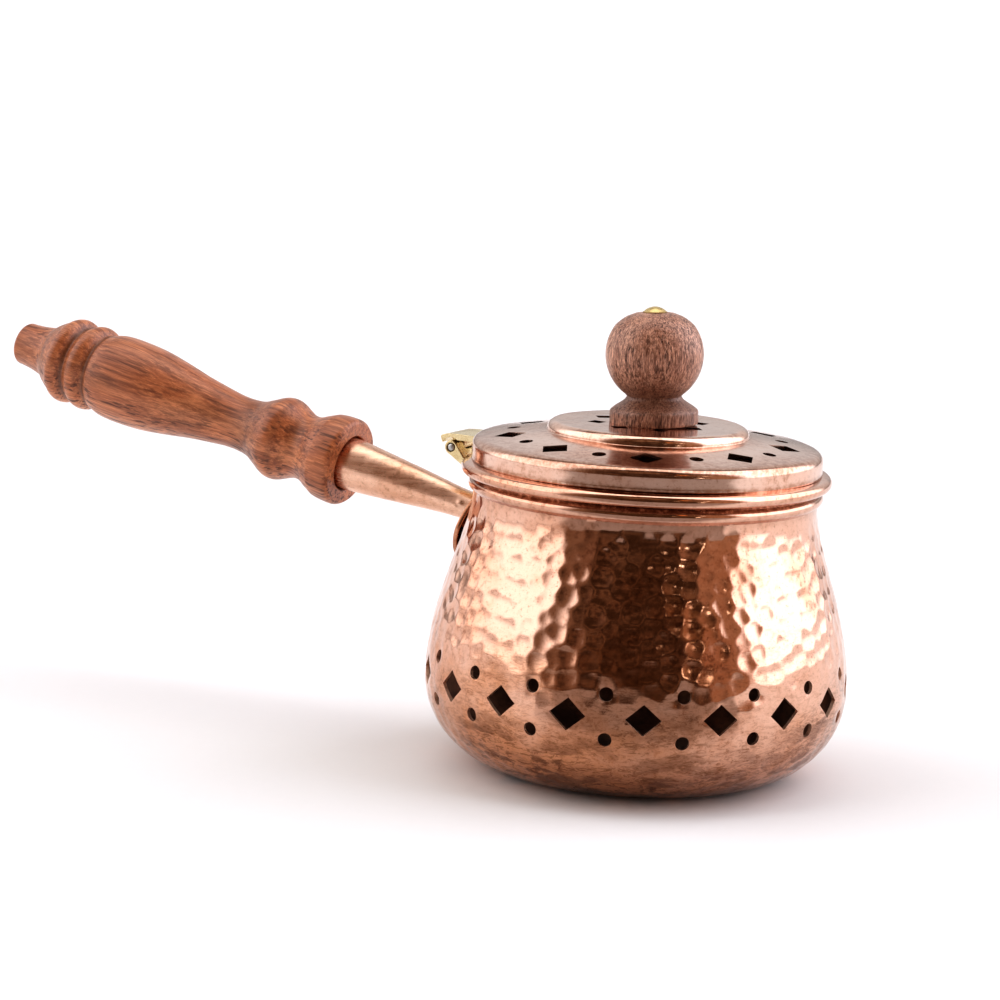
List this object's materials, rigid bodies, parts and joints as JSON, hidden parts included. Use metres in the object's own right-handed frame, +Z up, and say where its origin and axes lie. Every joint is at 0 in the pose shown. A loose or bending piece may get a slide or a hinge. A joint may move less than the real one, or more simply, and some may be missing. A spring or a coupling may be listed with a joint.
{
  "type": "lidded pierced copper burner with a long handle",
  "caption": "Hammered copper pot with a pierced band, a hinged pierced lid with a wooden knob, and a turned wooden handle on a copper ferrule.",
  "frame": {"origin": "centre of the flat base, on the surface that the pot stands on", "axes": "+Z up along the pot's axis; the handle and the hinge point towards -X; +Y completes a right-handed frame"},
  "size_m": [0.2593, 0.112, 0.1218],
  "materials": {
    "copper_hammered": "hammered and polished copper, stained brown near the base",
    "copper_lid": "polished copper with a faint pink tarnish",
    "copper_ferrule": "drawn copper, satin, with a soldered seam",
    "copper_plate": "darkened copper plate and rivets",
    "brass": "cast and filed yellow brass",
    "steel": "plain steel",
    "grip_wood": "turned reddish hardwood, waxed",
    "knob_wood": "turned open-grained hardwood, dry"
  },
  "bodies": {
    "pot": {"pot_body": "copper_hammered", "handle_plate": "copper_plate", "plate_rivets": "copper_plate", "handle_ferrule": "copper_ferrule", "handle_tang": "steel", "handle_grip": "grip_wood", "pot_hinge_leaf": "brass", "pot_leaf_rivets": "brass", "hinge_pin": "steel"},
    "lid": {"lid_body": "copper_lid", "lid_knob": "knob_wood", "knob_bolt": "brass", "knob_washer": "steel", "knob_nut": "steel", "lid_hinge_leaf": "brass", "lid_leaf_rivets": "brass"}
  },
  "joints": [
    {"name": "lid_hinge", "type": "hinge", "parent": "pot", "child": "lid", "pos_m": [-0.055, 0, 0.0795], "axis": [0, -1, 0], "range_deg": [0, 100]}
  ]
}
